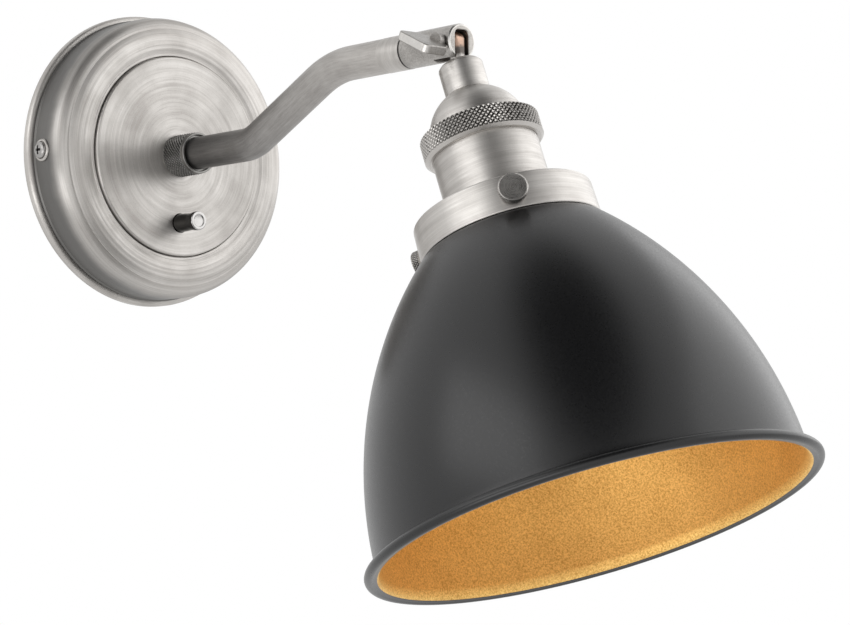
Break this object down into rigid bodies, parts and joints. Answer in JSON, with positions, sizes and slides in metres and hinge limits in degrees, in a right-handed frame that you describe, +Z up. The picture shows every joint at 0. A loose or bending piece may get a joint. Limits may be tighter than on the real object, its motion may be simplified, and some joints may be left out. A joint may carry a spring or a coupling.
{
  "type": "wall reading lamp",
  "caption": "Wall reading lamp: round metal rose with a push switch, a fixed cranked arm, and a bell shade on a tilting knuckle, black outside and gold inside.",
  "frame": {"origin": "centre of the rose's back face, on the wall", "axes": "+Y into the wall, -Y out into the room, +Z up, +X to the right facing the wall"},
  "size_m": [0.1614, 0.3277, 0.2377],
  "materials": {
    "aged_nickel": "brushed, aged nickel",
    "dark_gunmetal": "dark gunmetal plating",
    "bright_chrome": "polished",
    "copper_tone": "copper-toned, satin",
    "black_gold": "satin black outside, metallic gold inside",
    "zinc_steel": "zinc-plated",
    "brass": "plain",
    "black_rubber": "moulded",
    "white_plastic": "moulded",
    "black_plastic": "moulded",
    "brown_pvc": "lead insulation",
    "blue_pvc": "lead insulation",
    "green_pvc": "lead insulation",
    "white_ceramic": "glazed"
  },
  "bodies": {
    "fixed_lamp": {"wall_plate": "aged_nickel", "rose_cover": "aged_nickel", "centre_disc": "aged_nickel", "cover_screws": "zinc_steel", "cup_washers": "aged_nickel", "cable_grommet": "black_rubber", "arm_bushing": "dark_gunmetal", "hollow_nipple": "zinc_steel", "nipple_washer": "zinc_steel", "nipple_nut": "brass", "switch_body": "black_plastic", "switch_nut": "zinc_steel", "switch_lead": "brown_pvc", "earth_lead": "green_pvc", "neutral_lead": "blue_pvc", "live_lead": "brown_pvc", "terminal_block": "white_plastic", "terminal_tubes": "brass", "terminal_screws": "zinc_steel", "block_screw": "zinc_steel", "earth_post": "brass", "arm_tube": "dark_gunmetal", "arm_ferrule": "aged_nickel", "knuckle": "aged_nickel"},
    "head": {"head_tongue": "copper_tone", "friction_washers": "black_plastic", "stem_nut": "brass", "head_neck": "aged_nickel", "dome_cap": "aged_nickel", "dome_nut": "brass", "knurled_ring": "aged_nickel", "lamp_holder": "aged_nickel", "lamp_insert": "white_ceramic", "screw_shell": "brass", "centre_contact": "brass", "holder_screws": "zinc_steel", "head_leads": "brown_pvc", "shade_collar": "aged_nickel", "gallery_ring": "brass", "shade": "black_gold"},
    "switch_button": {"switch_button": "bright_chrome"},
    "wing_screw": {"wing_screw": "aged_nickel"},
    "thumb_screw_1": {"thumb_screw_1": "aged_nickel"},
    "thumb_screw_2": {"thumb_screw_2": "aged_nickel"},
    "thumb_screw_3": {"thumb_screw_3": "aged_nickel"}
  },
  "joints": [
    {"name": "head_tilt", "type": "hinge", "parent": "fixed_lamp", "child": "head", "pos_m": [0, -0.18699, 0.0243], "axis": [-1, 0, 0], "range_deg": [-35, 69]},
    {"name": "switch_push", "type": "slide", "parent": "fixed_lamp", "child": "switch_button", "axis": [0, 1, 0], "range_m": [0, 0.0025], "stiffness_N_per_m": 400},
    {"name": "wing_turn", "type": "hinge", "parent": "fixed_lamp", "child": "wing_screw", "pos_m": [0, -0.18699, 0.0243], "axis": [-1, 0, 0], "range_deg": [0, 180]},
    {"name": "thumb_screw_1_turn", "type": "hinge", "parent": "head", "child": "thumb_screw_1", "pos_m": [0, -0.2129, -0.04426], "axis": [-0.6293, -0.727, 0.2747], "continuous": true},
    {"name": "thumb_screw_2_turn", "type": "hinge", "parent": "head", "child": "thumb_screw_2", "pos_m": [0, -0.2129, -0.04426], "axis": [-0.3584, 0.8733, -0.33], "continuous": true},
    {"name": "thumb_screw_3_turn", "type": "hinge", "parent": "head", "child": "thumb_screw_3", "pos_m": [0, -0.2129, -0.04426], "axis": [0.9877, -0.1463, 0.0553], "continuous": true}
  ]
}
